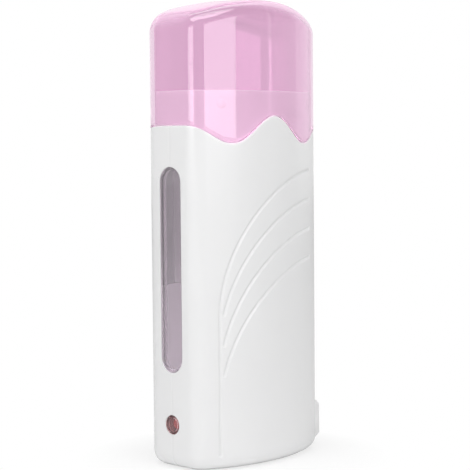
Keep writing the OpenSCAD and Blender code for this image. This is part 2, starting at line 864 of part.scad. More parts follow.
front_shell();
rear_shell();
cap();
window_lens();
pilot_lens();
pilot_led();
circuit_board();
board_resistor();
board_diode();
cartridge_sleeve();
front() heat_plate();  // front_heat_plate
rear() heat_plate();  // rear_heat_plate
front() heating_element();  // front_heating_element
rear() heating_element();  // rear_heating_element
front() insulating_film();  // front_insulating_film
rear() insulating_film();  // rear_insulating_film
front() spring_clip();  // front_spring_clip
rear() spring_clip();  // rear_spring_clip
front_heater_leads();
rear_heater_leads();
inlet_insert();
inlet_pins();
live_lead();
neutral_lead();
board_leads();
thermal_fuse();
wire_splices();
shell_screws();
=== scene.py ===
"""Roll-on wax warmer: gloss white shells, a tinted lift-off cap, the level window and what is inside."""

import math
from functools import lru_cache

import bmesh
import bpy
from mathutils import Matrix, Vector, kdtree


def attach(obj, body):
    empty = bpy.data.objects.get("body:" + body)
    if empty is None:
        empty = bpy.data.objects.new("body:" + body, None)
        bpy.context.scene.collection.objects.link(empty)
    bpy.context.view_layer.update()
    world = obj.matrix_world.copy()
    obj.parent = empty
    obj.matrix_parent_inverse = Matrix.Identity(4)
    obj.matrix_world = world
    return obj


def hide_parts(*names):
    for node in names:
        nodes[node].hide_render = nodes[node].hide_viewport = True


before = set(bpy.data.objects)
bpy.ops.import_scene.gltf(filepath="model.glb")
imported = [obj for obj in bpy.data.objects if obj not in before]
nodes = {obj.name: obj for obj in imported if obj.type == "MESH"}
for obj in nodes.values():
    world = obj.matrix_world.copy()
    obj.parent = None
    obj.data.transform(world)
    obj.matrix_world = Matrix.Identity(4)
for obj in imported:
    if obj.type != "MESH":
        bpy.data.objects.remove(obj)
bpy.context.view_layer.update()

# ---------------------------------------------------------------- sizes, in millimetres
# heights are from the base; insets are from the body's outside
BODY_W, BODY_D, BODY_H = 67.5, 43.9, 130.9
WIDE_R, NARROW_R, CORNER_R = 62.0, 120.0, 9.0
WALL, FOOT_R = 2.0, 5.2
WAVE_DROP, WAVE_DIP_X, WAVE_END_RISE, SEAM = 10.2, 19.0, 7.4, 0.3
CAP_TOP, CAP_WALL, CAP_CROWN, CAP_SIDE_CROWN, CAP_EDGE_R = 175.0, 1.8, 7.6, 1.7, 5.5
NECK_TOP, NECK_OUT, NECK_IN, NUB_X, NUB_H, NUB_R = 140.3, 2.1, 3.6, 23.0, 0.2, 8.0
FACE_X = BODY_W / 2
DIP_Z = BODY_H - WAVE_DROP
SHOULDER_Z = DIP_Z - 4
WAVE_REACH = FACE_X - WAVE_DIP_X + 2.75
WINDOW_W, WINDOW_Z, WINDOW_TOP = 11.3, 35.8, 112.3
LENS_GAP, LENS_T, LENS_FLANGE, LENS_RIM, LENS_BACK = 0.1, 1.5, 1.6, 1.0, 3.05
PILOT_Z, PILOT_D, LED_TIP_X, LED_LEN = 16.4, 7.4, -31.75, 8.6
BAY_INSET, SLEEVE_OUT, BAY_FLOOR, BAY_TOP, SHELF_TOP = 6.2, 5.0, 31.0, 139.1, 29.8
PLATE_W, PLATE_H, PLATE_Z, PLATE_T, PLATE_GAP, PLATE_IN_Y = 40.0, 50.0, 68.0, 0.8, 0.2, 5.0
SLOT_X, SLOT_W, SLOT_LOW, SLOT_HIGH = 13.0, 1.1, 0.8, 5.4
PAD_Y, PAD_W, PAD_H = 16.85, 16.0, 40.0
INLET_Z, INLET_W, INLET_H, INLET_R = 10.1, 18.6, 11.0, 2.1
COLLAR_X, COLLAR_W, COLLAR_H = 37.15, 20.0, 16.2
SCREW_X, SCREW_Z, SCREW_SEAT, SCREW_HOLE_R, SCREW_HEAD_R, BOSS_D = 10.0, 12.0, 12.0, 1.6, 3.0, 8.0
LINE_STEP, LINE_W, LINE_DEPTH, LINE_A, LINE_B = 11.2, 1.2, 0.4, 51.7, 54.6
LINE_TOP, LINE_X, LINE_END_X = 110.3, 26.8, 23.4
WIRE_R, BEND_R, OVER_Z = 0.8, 0.9, 25.2
# a distance past the sides of every piece, and a millimetre in metres
FAR, MM = 40.0, 0.001
# points on each arc in a quarter of the body's outline
NARROW_N, CORNER_N, WIDE_N = 6, 10, 26


# ---------------------------------------------------------------- the body's section and its wave
WIDE_C = Vector((0, BODY_D / 2 - WIDE_R))
NARROW_C = Vector((FACE_X - NARROW_R, 0))


def corner_centre():
    """Centre of the corner arc, which touches the wide and the narrow arcs from inside."""
    a, b = WIDE_R - CORNER_R, NARROW_R - CORNER_R
    between = NARROW_C - WIDE_C
    length = between.length
    along = (a * a - b * b + length * length) / (2 * length)
    across = math.sqrt(a * a - along * along)
    way = between / length
    return WIDE_C + way * along + Vector((way.y, -way.x)) * across


CORNER_C = corner_centre()
WIDE_A = math.atan2(CORNER_C.y - WIDE_C.y, CORNER_C.x - WIDE_C.x)
NARROW_A = math.atan2(CORNER_C.y - NARROW_C.y, CORNER_C.x - NARROW_C.x)


def part_way(start, end, i, count):
    """Where step i out of count is on the way from start to end."""
    return start + (end - start) * i / count


def arc(centre, radius, start, end, count):
    """Points along an arc, without its last one."""
    turns = [part_way(start, end, i, count) for i in range(count)]
    return [centre + Vector((math.cos(a), math.sin(a))) * radius for a in turns]


@lru_cache(maxsize=None)
def section(inset):
    """The body's outline seen from above, drawn in by a distance, once round from +X."""
    quarter = (arc(NARROW_C, NARROW_R - inset, 0, NARROW_A, NARROW_N)
               + arc(CORNER_C, CORNER_R - inset, NARROW_A, WIDE_A, CORNER_N)
               + arc(WIDE_C, WIDE_R - inset, WIDE_A, math.pi / 2, WIDE_N))
    top = Vector((0, BODY_D / 2 - inset))
    half = quarter + [top] + [Vector((-p.x, p.y)) for p in reversed(quarter)]
    return tuple(half + [Vector((p.x, -p.y)) for p in reversed(half[1:-1])])


def ring(inset, height, scale=1.0):
    """One ring of a skin: the section at a height, or at a height that depends on the place."""
    level = height if callable(height) else lambda p: height
    return [Vector((p.x * scale, p.y * scale, level(p * scale))) for p in section(inset)]


def wave(x):
    """Height of the wavy line between the body and the cap."""
    away = abs(x)
    if away < WAVE_DIP_X:
        return DIP_Z + WAVE_DROP * (1 + math.cos(math.pi * away / WAVE_DIP_X)) / 2
    part = min(1.0, (away - WAVE_DIP_X) / WAVE_REACH)
    return DIP_Z + WAVE_END_RISE * (1 - math.cos(math.pi * part)) / 2


def crown(p):
    """Height of the cap's top over a place."""
    return CAP_TOP - CAP_CROWN * (p.x / FACE_X) ** 2 - CAP_SIDE_CROWN * (p.y / (BODY_D / 2)) ** 2


def quarter_turn(steps, count):
    """1 - sine and 1 - cosine at these steps of a quarter turn that is cut into count parts."""
    turns = [math.pi / 2 * i / count for i in steps]
    return [(1 - math.sin(t), 1 - math.cos(t)) for t in turns]


# ---------------------------------------------------------------- mesh tools
def is_vert(part):
    """Whether a part of a mesh is one of its corners."""
    return isinstance(part, bmesh.types.BMVert)


def loft(rings):
    """A skin drawn out ring by ring, closed by a point at its ends."""
    mesh = bmesh.new()
    place = mesh.verts.layers.int.new("place")
    first = [mesh.verts.new(p) for p in rings[0]]
    for i, vert in enumerate(first):
        vert[place] = i
    edges = [mesh.edges.new(pair) for pair in zip(first, first[1:] + first[:1])]
    for points in rings[1:]:
        grown = bmesh.ops.extrude_edge_only(mesh, edges=edges)["geom"]
        row = [part for part in grown if is_vert(part)]
        for vert in row:
            vert.co = points[vert[place]]
        fresh = set(row)
        edges = [part for part in grown
                 if isinstance(part, bmesh.types.BMEdge) and fresh.issuperset(part.verts)]
    for verts in (first, row):
        middle = sum((v.co for v in verts), Vector()) / len(verts)
        bmesh.ops.pointmerge(mesh, verts=verts, merge_co=middle)
    bmesh.ops.recalc_face_normals(mesh, faces=mesh.faces)
    return mesh


def filled_prism(points, way):
    """A closed prism: a flat face of a few corners, extruded once."""
    mesh = bmesh.new()
    face = mesh.faces.new([mesh.verts.new(p) for p in points])
    grown = bmesh.ops.extrude_face_region(mesh, geom=[face], use_keep_orig=True)["geom"]
    bmesh.ops.translate(mesh, verts=[v for v in grown if is_vert(v)], vec=way)
    bmesh.ops.recalc_face_normals(mesh, faces=mesh.faces)
    return mesh


def bevel(mesh, edges, offset):
    """Rounds some edges in two steps."""
    bmesh.ops.bevel(mesh, geom=edges, offset=offset, offset_type="OFFSET", segments=2, profile=0.5,
                    affect="EDGES", clamp_overlap=True, material=-1)


def box(low, high, round_by=0.0):
    """A block between two corners, its edges rounded."""
    low, high = Vector(low), Vector(high)
    mesh = bmesh.new()
    bmesh.ops.create_cube(mesh, size=1)
    bmesh.ops.transform(mesh, verts=mesh.verts, matrix=Matrix.Translation((low + high) / 2)
                        @ Matrix.Diagonal((high - low).to_4d()))
    if round_by:
        bevel(mesh, mesh.edges[:], round_by)
    return mesh


def rod(axis, radius, start, end, centre):
    """A closed cylinder along X or Y, from one place to another."""
    mesh = bmesh.new()
    bmesh.ops.create_cone(mesh, cap_ends=True, segments=64, radius1=radius, radius2=radius,
                          depth=end - start)
    middle = (start + end) / 2
    if axis == "X":
        place, turn = (middle, centre[0], centre[1]), Matrix.Rotation(math.pi / 2, 4, "Y")
    else:
        place, turn = (centre[0], middle, centre[1]), Matrix.Rotation(math.pi / 2, 4, "X")
    bmesh.ops.transform(mesh, verts=mesh.verts, matrix=Matrix.Translation(place) @ turn)
    return mesh


def turned(profile, axis, centre):
    """A round piece: a profile of (along, radius) spun once round an axis along X or Y."""
    mesh = bmesh.new()
    verts = [mesh.verts.new((along, radius, 0)) for along, radius in profile]
    edges = [mesh.edges.new(pair) for pair in zip(verts, verts[1:])]
    bmesh.ops.spin(mesh, geom=verts + edges, cent=(0, 0, 0), axis=(1, 0, 0), angle=math.tau,
                   steps=48, use_merge=True, use_duplicate=False, use_normal_flip=False)
    bmesh.ops.remove_doubles(mesh, verts=mesh.verts, dist=1e-5)
    bmesh.ops.recalc_face_normals(mesh, faces=mesh.faces)
    place = Matrix.Translation((0, centre[0], centre[1]))
    if axis == "Y":
        place = Matrix.Translation((centre[0], 0, centre[1])) @ Matrix.Rotation(math.pi / 2, 4, "Z")
    bmesh.ops.transform(mesh, verts=mesh.verts, matrix=place)
    return mesh


def obround(width, low, high, steps=20):
    """Corners of an upright slot with round ends, as (y, z)."""
    r = width / 2
    ends = [(high - r, 0), (low + r, math.pi)]
    return [(r * math.cos(start + math.pi * i / steps), z + r * math.sin(start + math.pi * i / steps))
            for z, start in ends for i in range(steps + 1)]


def joined(*meshes):
    """Several meshes as one."""
    whole = bmesh.new()
    for mesh in meshes:
        data = bpy.data.meshes.new("joining")
        mesh.to_mesh(data)
        mesh.free()
        whole.from_mesh(data)
        bpy.data.meshes.remove(data)
    return whole


def carved(mesh, tool, how="DIFFERENCE"):
    """The mesh with the tool's solid taken out of it, joined to it, or kept only inside it."""
    made = []
    for part in (mesh, tool):
        data = bpy.data.meshes.new("carving")
        part.to_mesh(data)
        part.free()
        made.append(bpy.data.objects.new("carving", data))
        bpy.context.scene.collection.objects.link(made[-1])
    change = made[0].modifiers.new("carving", "BOOLEAN")
    change.operation, change.solver, change.object = how, "EXACT", made[1]
    bpy.context.view_layer.update()
    result = bmesh.new()
    result.from_object(made[0], bpy.context.evaluated_depsgraph_get())
    for part in made:
        bpy.data.meshes.remove(part.data)
    return result


def piece(name, mesh, finish, body, stands_for):
    """Turns a mesh in millimetres into a shown piece that rides on a body and stands for CAD nodes."""
    bmesh.ops.scale(mesh, vec=(MM, MM, MM), verts=mesh.verts)
    for face in mesh.faces:
        face.smooth = True
    data = bpy.data.meshes.new(name)
    mesh.to_mesh(data)
    mesh.free()
    data.set_sharp_from_angle(angle=math.radians(30))
    data.materials.append(finish)
    made = bpy.data.objects.new(name, data)
    bpy.context.scene.collection.objects.link(made)
    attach(made, body)
    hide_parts(*stands_for)


# ---------------------------------------------------------------- materials
# clear plastic: its index, how its deeper shade comes from its tint, and how weakly its shadow is tinted
CLEAR_IOR, SHADE_POWER, SHADE_LIFT, SHADOW_POWER = 1.49, 1.6, 1.25, 0.1


class Value:
    """A socket whose sums and products add their own nodes."""

    def __init__(self, graph, socket):
        self.graph, self.socket = graph, socket

    def maths(self, operation, *others):
        """What a Math node makes of this value and others."""
        node = self.graph.node("ShaderNodeMath", {"operation": operation},
                               dict(enumerate((self, *others))))
        return Value(self.graph, node.outputs[0])

    def __add__(self, other):
        return self.maths("ADD", other)

    def __sub__(self, other):
        return self.maths("SUBTRACT", other)

    def __mul__(self, other):
        return self.maths("MULTIPLY", other)

    def __rsub__(self, other):
        return (self * -1).maths("ADD", other)

    __radd__, __rmul__ = __add__, __mul__

    def between(self, low, high):
        """0 below low, 1 above high and a ramp between them."""
        return ((self - low) * (1 / (high - low))).clipped()

    def clipped(self):
        """This value kept from 0 to 1."""
        return self.maths("MAXIMUM", 0).maths("MINIMUM", 1)


class Graph:
    """The nodes of a material or a world, each made in one call."""

    def __init__(self, tree):
        self.tree = tree
        tree.nodes.clear()

    def node(self, kind, settings=None, sockets=None):
        """A node with its settings, and then the values or links of its sockets."""
        made = self.tree.nodes.new(kind)
        for key, value in (settings or {}).items():
            setattr(made, key, value)
        for key, value in (sockets or {}).items():
            self.put(made.inputs[key], value)
        return made

    def put(self, socket, value):
        """Links a socket, or gives it a value of its own."""
        source = value.socket if isinstance(value, Value) else value
        if isinstance(source, bpy.types.NodeSocket):
            self.tree.links.new(source, socket)
        elif isinstance(source, tuple) and len(source) == 3 and len(socket.default_value) == 4:
            socket.default_value = (*source, 1)
        else:
            socket.default_value = source

    def rays(self, *kinds):
        """1 for these kinds of rays and 0 for the others."""
        path = self.node("ShaderNodeLightPath")
        first, *others = [Value(self, path.outputs[f"Is {kind} Ray"]) for kind in kinds]
        return sum(others, first).clipped()


class Finish(Graph):
    """One material, with its shader where fixed values are given for one."""

    def __init__(self, name, **fixed):
        self.material = bpy.data.materials.new(name)
        self.material.use_nodes = True
        super().__init__(self.material.node_tree)
        self.out = self.node("ShaderNodeOutputMaterial")
        self.place = self.node("ShaderNodeTexCoord").outputs["Object"]
        if fixed:
            self.shader = self.node("ShaderNodeBsdfPrincipled", {}, fixed)
            self.show(self.shader)

    def show(self, shader):
        """Makes a shader the one that the surface shows."""
        self.put(self.out.inputs["Surface"], shader.outputs[0])

    def set(self, **sockets):
        """Links sockets of the shader, or gives them values."""
        for key, value in sockets.items():
            self.put(self.shader.inputs[key.replace("_", " ")], value)

    def moved(self, scale=(1, 1, 1), turn=(0, 0, 0)):
        """Object coordinates, stretched and turned for a pattern."""
        made = self.node("ShaderNodeMapping", {}, {"Vector": self.place, "Scale": scale, "Rotation": turn})
        return made.outputs[0]

    def noise(self, scale, detail, place=None):
        """Soft random blotches, finer with a larger scale."""
        made = self.node("ShaderNodeTexNoise", {}, {"Vector": place or self.place, "Scale": scale,
                                                    "Detail": detail})
        return Value(self, made.outputs["Fac"])

    def axis(self, name, vector=None):
        """One Object coordinate in metres, or one part of another vector."""
        made = self.node("ShaderNodeSeparateXYZ", {}, {"Vector": vector or self.place})
        return Value(self, made.outputs[name])

    def mixed(self, mask, low, high):
        """A colour between two, by a mask."""
        made = self.node("ShaderNodeMix", {"data_type": "RGBA"}, {"Factor": mask, "A": low, "B": high})
        return made.outputs["Result"]

    def bump(self, height, strength, distance=0.0002):
        """Raises the surface by a height, which is in units of a distance in metres."""
        made = self.node("ShaderNodeBump", {}, {"Height": height, "Strength": strength,
                                                "Distance": distance})
        self.put(self.shader.inputs["Normal"], made.outputs[0])
        return self


def gloss_white():
    """Polished white styrene with the faint flow and fine dimpling of a moulding."""
    made = Finish("gloss_white", Roughness=0.2, IOR=1.5)
    flow = made.noise(38, 3)
    made.set(Base_Color=made.mixed(flow, (0.80, 0.80, 0.805), (0.83, 0.83, 0.832)))
    made.set(Roughness=0.19 + made.noise(900, 2) * 0.05)
    return made.bump(made.noise(420, 2), 0.02).material


def deep_shade(made, tint, strength):
    """A deeper shade for clear plastic seen along its wall, and the share of it at each place."""
    shade = tuple(c ** SHADE_POWER * SHADE_LIFT for c in tint)
    deep = made.node("ShaderNodeBsdfPrincipled", {}, {"Base Color": shade, "Roughness": 0.15,
                                                      "IOR": CLEAR_IOR})
    facing = Value(made, made.node("ShaderNodeLayerWeight", {}, {"Blend": 0.5}).outputs["Facing"])
    up = made.axis("Z", made.node("ShaderNodeNewGeometry").outputs["Normal"])
    top_edge = facing.between(0.3, 0.75) * up.between(0.1, 0.5)
    side_edge = facing.between(0.7, 0.95) * 0.6
    return deep, (top_edge + side_edge).clipped() * strength


def tinted_clear(name, tint, rough, haze=0.0, rim=0.0):
    """Clear moulded plastic with a colour of its own, which lets the lamps through to what is behind it.

    Haze is the share of plain colour in it, and rim is how strongly its deeper shade shows.
    """
    made = Finish(name, Roughness=rough, IOR=CLEAR_IOR)
    colour = made.mixed(made.noise(22, 2), tuple(c * 0.99 for c in tint), tint)
    made.set(Base_Color=colour, Transmission_Weight=1 - haze)
    made.bump(made.noise(60, 1), 0.012)
    shown = made.shader
    if rim:
        deep, share = deep_shade(made, tint, rim)
        shown = made.node("ShaderNodeMixShader", {}, {0: share, 1: shown.outputs[0], 2: deep.outputs[0]})
    path = made.node("ShaderNodeLightPath")
    shadow_tint = tuple(c ** SHADOW_POWER for c in tint)
    through = made.node("ShaderNodeBsdfTransparent", {}, {"Color": shadow_tint})
    made.show(made.node("ShaderNodeMixShader", {}, {0: path.outputs["Is Shadow Ray"], 1: shown.outputs[0],
                                                    2: through.outputs[0]}))
    return made.material


def matte_plastic(name, low, high, rough, grain):
    """Plain moulded plastic with a fine grain."""
    made = Finish(name, Roughness=rough)
    made.set(Base_Color=made.mixed(made.noise(grain / 4, 3), low, high))
    made.set(Roughness=rough - 0.06 + made.noise(grain, 2) * 0.12)
    return made.bump(made.noise(grain, 2), 0.12, 0.0001).material


def lined_nylon():
    """Pale heat-proof nylon with a thin metal lining above the plates' foot; painted shade darkens the
    lining towards the window.
    """
    made = Finish("lined_nylon", Roughness=0.5)
    foot = PLATE_Z * MM
    lining = made.axis("Z").between(foot - 0.0003, foot - 0.0001)
    pale = made.mixed(made.noise(400, 3), (0.86, 0.85, 0.86), (0.90, 0.89, 0.90))
    # painted shade: the lining runs from dark by the window to lighter further in
    painted_shade_ramp = made.axis("X").between(-0.0225, -0.0165)
    foil_with_painted_shade = made.mixed(painted_shade_ramp, (0.17, 0.16, 0.175), (0.42, 0.40, 0.425))
    made.set(Base_Color=made.mixed(lining, pale, foil_with_painted_shade), Metallic=lining * 0.9)
    made.set(Roughness=0.44 + made.noise(1500, 2) * 0.12 - lining * 0.16)
    return made.bump(made.noise(1500, 2), 0.12, 0.0001).material


def drawn_metal(name, low, high, rough, stretch=(1, 1, 40)):
    """Rolled or drawn metal: fine lines along one way and a slow change of tone."""
    made = Finish(name, Metallic=1.0, Roughness=rough)
    lines = made.noise(900, 3, made.moved(scale=stretch))
    made.set(Base_Color=made.mixed(made.noise(60, 2), low, high))
    made.set(Roughness=rough - 0.08 + lines * 0.16)
    return made.bump(lines, 0.1, 0.00005).material


def solder_mask():
    """Green board lacquer over copper tracks that run across it, with the weave of the board under it."""
    made = Finish("solder_mask", Roughness=0.35)
    across, up = made.axis("Y"), made.axis("Z")
    tracks = made.node("ShaderNodeTexBrick", {"offset": 0.5}, {
        "Vector": made.moved(turn=(math.pi / 2, 0, math.pi / 2)), "Scale": 160.0, "Mortar Size": 0.06,
        "Mortar Smooth": 0.1, "Color1": (0, 0, 0), "Color2": (0, 0, 0), "Mortar": (1, 1, 1)})
    copper = Value(made, tracks.outputs["Fac"]) * made.noise(260, 1).between(0.5, 0.52)
    weave = (across * 9000).maths("SINE") * (up * 9000).maths("SINE") * 0.5 + 0.5
    base = made.mixed(weave, (0.018, 0.115, 0.045), (0.022, 0.135, 0.055))
    made.set(Base_Color=made.mixed(copper, base, (0.05, 0.26, 0.09)))
    return made.bump(copper + weave * 0.2, 0.3, 0.0001).material


def fired_ceramic():
    """Grey-brown heater ceramic with silvered faces worn thin along a few streaks."""
    made = Finish("fired_ceramic", Roughness=0.5)
    streaks = made.noise(500, 3, made.moved(scale=(4, 1, 1))).between(0.35, 0.6)
    made.set(Base_Color=made.mixed(streaks, (0.32, 0.25, 0.19), (0.58, 0.57, 0.55)))
    made.set(Metallic=streaks * 0.7, Roughness=0.6 - streaks * 0.2)
    return made.bump(made.noise(2500, 2), 0.15, 0.00005).material


def amber_film():
    """Thin polyimide film, gold where it lies flat, with painted shade darkening it where it is creased."""
    made = Finish("amber_film", Roughness=0.22, IOR=1.6)
    creases_and_painted_shade = made.noise(300, 3, made.moved(scale=(1, 1, 0.3)))
    # painted shade: the colour darkens where the crease pattern dips
    made.set(Base_Color=made.mixed(creases_and_painted_shade, (0.42, 0.17, 0.02), (0.66, 0.32, 0.05)))
    made.set(Roughness=0.16 + creases_and_painted_shade * 0.14)
    return made.bump(creases_and_painted_shade, 0.25, 0.0002).material


def banded_part():
    """A small resistor: a tan lacquer body with coloured value rings between its bright leads."""
    made = Finish("banded_part", Roughness=0.3)
    along = made.axis("Y")
    colour = made.mixed(made.noise(1800, 2), (0.50, 0.36, 0.20), (0.58, 0.43, 0.26))
    for place, ring_colour in ((-2.2, (0.45, 0.16, 0.02)), (-1.0, (0.02, 0.02, 0.02)),
                               (0.2, (0.5, 0.02, 0.02)), (2.0, (0.55, 0.4, 0.08))):
        off = (along - place * MM).maths("ABSOLUTE")
        colour = made.mixed(1 - off.between(0.00028, 0.00032), colour, ring_colour)
    lead = along.maths("ABSOLUTE").between(0.00326, 0.0033)
    made.set(Base_Color=made.mixed(lead, colour, (0.6, 0.6, 0.6)))
    made.set(Metallic=lead, Roughness=0.32 - lead * 0.05)
    return made.bump(made.noise(1500, 2), 0.1, 0.00005).material


def cathode_part():
    """A small diode: a black moulded body with one silver ring between its bright leads."""
    made = Finish("cathode_part", Roughness=0.4)
    along = made.axis("Y")
    colour = made.mixed(made.noise(1800, 2), (0.012, 0.012, 0.013), (0.022, 0.022, 0.024))
    mark = 1 - (along - 0.0016).maths("ABSOLUTE").between(0.00035, 0.0004)
    lead = along.maths("ABSOLUTE").between(0.00261, 0.00265)
    colour = made.mixed(mark, colour, (0.55, 0.55, 0.54))
    made.set(Base_Color=made.mixed(lead, colour, (0.6, 0.6, 0.6)))
    made.set(Metallic=lead, Roughness=0.42 - lead * 0.15)
    return made.bump(made.noise(2200, 2), 0.12, 0.00005).material


def lamp_body():
    """Diffused red lamp resin, deeper red towards its base, with two tinned leads behind it."""
    made = Finish("lamp_resin", Roughness=0.3, IOR=1.5)
    along = made.axis("X")
    tip, back = LED_TIP_X * MM, (LED_TIP_X + LED_LEN) * MM
    lead = along.between(back, back + 0.05 * MM)
    colour = made.mixed(along.between(tip, back), (0.34, 0.02, 0.016), (0.26, 0.01, 0.01))
    colour = made.mixed(made.noise(700, 2) * 0.12, colour, (0.4, 0.1, 0.08))
    made.set(Base_Color=made.mixed(lead, colour, (0.62, 0.62, 0.62)), Metallic=lead)
    made.set(Roughness=0.2 + made.noise(900, 2) * 0.08)
    return made.bump(made.noise(600, 1), 0.03, 0.0001).material


def silicone_wire(name, low, high):
    """Soft silicone insulation with a faint ribbing from its drawing."""
    made = Finish(name, Roughness=0.45)
    made.set(Base_Color=made.mixed(made.noise(260, 2), low, high))
    made.set(Roughness=0.42 + made.noise(1200, 2) * 0.12)
    return made.bump(made.noise(1600, 2), 0.1, 0.00005).material


WHITE = gloss_white()
PINK = tinted_clear("tinted_cap", (0.83, 0.62, 0.76), 0.02, rim=0.8)
SMOKE = tinted_clear("smoky_lens", (0.95, 0.87, 0.94), 0.03, haze=0.14)
ROSE = tinted_clear("pilot_lens_clear", (0.90, 0.56, 0.58), 0.05, haze=0.07)
RED_WIRE = silicone_wire("red_insulation", (0.55, 0.035, 0.03), (0.66, 0.05, 0.04))
BLUE_WIRE = silicone_wire("blue_insulation", (0.03, 0.09, 0.40), (0.045, 0.12, 0.50))
SHRINK = matte_plastic("shrink_sleeve", (0.016, 0.016, 0.018), (0.03, 0.03, 0.032), 0.48, 2200)
CASE = drawn_metal("cut_out_case", (0.52, 0.54, 0.58), (0.64, 0.66, 0.70), 0.3, (30, 1, 1))
SLEEVE = lined_nylon()
PLATE = drawn_metal("rolled_aluminium", (0.62, 0.60, 0.62), (0.68, 0.66, 0.68), 0.34)
STEEL = drawn_metal("zinc_steel", (0.48, 0.48, 0.49), (0.60, 0.60, 0.61), 0.32, (12, 12, 12))
SPRING = drawn_metal("spring_strip", (0.52, 0.52, 0.54), (0.63, 0.63, 0.65), 0.28)
BRASS = drawn_metal("plated_brass", (0.74, 0.66, 0.45), (0.83, 0.76, 0.56), 0.22, (30, 1, 1))


# ---------------------------------------------------------------- relief lines on the wide faces
def relief_routes():
    """The four curved lines as rows of points in X and Z, the first with its run down to the base."""
    routes = []
    first = math.asin((LINE_X - LINE_END_X) / LINE_A)
    for i in range(4):
        low = LINE_TOP - LINE_B - i * LINE_STEP
        last = math.pi / 2 if i == 0 else math.radians(76)
        turns = [part_way(first, last, k, 80) for k in range(81)]
        route = [Vector((LINE_X - LINE_A * math.sin(t), low + LINE_B * math.cos(t))) for t in turns]
        if i == 0:
            start, end = route[-1].y, FOOT_R + 0.6
            route += [Vector((LINE_X - LINE_A, part_way(start, end, k, 60))) for k in range(1, 61)]
        routes.append(route)
    return routes


def relief_tree():
    """A search tree of points close together on every line."""
    points = []
    for route in relief_routes():
        for a, b in zip(route, route[1:]):
            steps = max(1, int((b - a).length / 0.1))
            points += [a + (b - a) * k / steps for k in range(steps)]
    tree = kdtree.KDTree(len(points))
    for i, p in enumerate(points):
        tree.insert((p.x, 0, p.y), i)
    tree.balance()
    return tree


def press_lines(mesh):
    """Refines the wide faces round the relief lines and presses the lines into them."""
    tree = relief_tree()
    reach = LINE_W / 2 + 0.25

    def from_line(point):
        """How far a place is from the nearest line, seen from the front."""
        return tree.find((point.x, 0, point.z))[2]

    def outside(face):
        """Whether a face lies on the outside of a wide face, where the lines run."""
        middle = face.calc_center_median()
        return (FOOT_R - 1 < middle.z < SHOULDER_Z and abs(middle.x) < 27.5
                and face.normal.y * middle.y > 0 and abs(face.normal.y) > 0.6)

    mesh.normal_update()
    chosen = [f for f in mesh.faces if outside(f) and from_line(f.calc_center_median()) < reach + 0.9]
    edges = list({e for f in chosen for e in f.edges})
    bmesh.ops.subdivide_edges(mesh, edges=edges, cuts=3, use_grid_fill=True)
    mesh.normal_update()
    for v in {v for f in mesh.faces if outside(f) for v in f.verts}:
        away = from_line(v.co)
        if away < reach:
            depth = LINE_DEPTH * (1 + math.cos(math.pi * away / reach)) / 2
            v.co -= Vector((v.normal.x, v.normal.y, 0)).normalized() * depth


# ---------------------------------------------------------------- shells
def body_rings():
    """The two shells as one closed skin: outside, over the neck's rim, and down the inside."""
    # roundings of the wavy edge, of the neck's rim outside and inside, and of the foot inside
    edge, rim, mouth, foot = 0.35, 0.5, 0.3, FOOT_R - WALL

    def seam_edge(p):
        """Height of the body's wavy edge, half the seam under the wave."""
        return wave(p.x) - SEAM / 2

    rings = [ring(FOOT_R, 0, k / 8) for k in range(1, 9)]
    rings += [ring(FOOT_R * across, FOOT_R * up) for across, up in quarter_turn(range(1, 9), 8)]
    rings += [ring(0, lambda p, i=i: part_way(FOOT_R, seam_edge(p) - edge, i, 112)) for i in range(1, 113)]
    rings += [ring(edge * across, lambda p, down=down: seam_edge(p) - edge * down)
              for down, across in quarter_turn(range(1, 5), 4)]
    rings += [ring(inset, seam_edge) for inset in (0.9, 1.5, NECK_OUT - 0.15)]
    rings += [ring(NECK_OUT, lambda p, i=i: part_way(seam_edge(p) + 0.15, NECK_TOP - rim, i, 10))
              for i in range(11)]
    rings += [ring(NECK_OUT + rim * across, NECK_TOP - rim * down)
              for down, across in quarter_turn(range(1, 5), 4)]
    rings += [ring(NECK_IN - mouth * across, NECK_TOP - mouth * down)
              for down, across in quarter_turn(range(3, -1, -1), 3)]
    rings += [ring(NECK_IN, z) for z in (139, 136, 130, 124, SHOULDER_Z + NECK_IN - WALL)]
    rings += [ring(WALL, z) for z in (SHOULDER_Z, 100, 80, 60, 40, 20, FOOT_R)]
    rings += [ring(WALL + foot * across, WALL + foot * up)
              for across, up in quarter_turn(range(4, -1, -1), 5)]
    return rings + [ring(FOOT_R, WALL, k / 4) for k in (3, 2, 1)]


def slot_prism(width, low, high, start, end, steps):
    """An upright slot with round ends, from one X to another."""
    return filled_prism([(start, y, z) for y, z in obround(width, low, high, steps)], (end - start, 0, 0))


def round_rect(width, height, radius, middle_z):
    """A rectangle with round corners, as places across and up."""
    points = []
    for quarter, (sy, sz) in enumerate(((1, 1), (-1, 1), (-1, -1), (1, -1))):
        centre = (sy * (width / 2 - radius), middle_z + sz * (height / 2 - radius))
        for i in range(7):
            a = math.pi / 2 * (quarter + i / 6)
            points.append((centre[0] + radius * math.cos(a), centre[1] + radius * math.sin(a)))
    return points


def inlet_collar():
    """The collar round the inlet, cut back under its lower end and rounded all round its front."""
    low, high = INLET_Z - COLLAR_H / 2, INLET_Z + COLLAR_H / 2
    start = FACE_X - FOOT_R
    side = [(start, high), (COLLAR_X - 1, high), (COLLAR_X, high - 1.4), (COLLAR_X, low + 3),
            (FACE_X - 0.4, low), (start, low)]
    mesh = filled_prism([(x, -COLLAR_W / 2, z) for x, z in side], (0, COLLAR_W, 0))
    corners = round_rect(COLLAR_W, COLLAR_H + 1, 3, INLET_Z)
    outline = filled_prism([(start, y, z) for y, z in corners], (12, 0, 0))
    mesh = carved(mesh, outline, "INTERSECT")
    front = [e for e in mesh.edges if min(v.co.x for v in e.verts) > COLLAR_X - 1.2
             and e.calc_face_angle(0) > 0.3]
    bevel(mesh, front, 0.35)
    return mesh


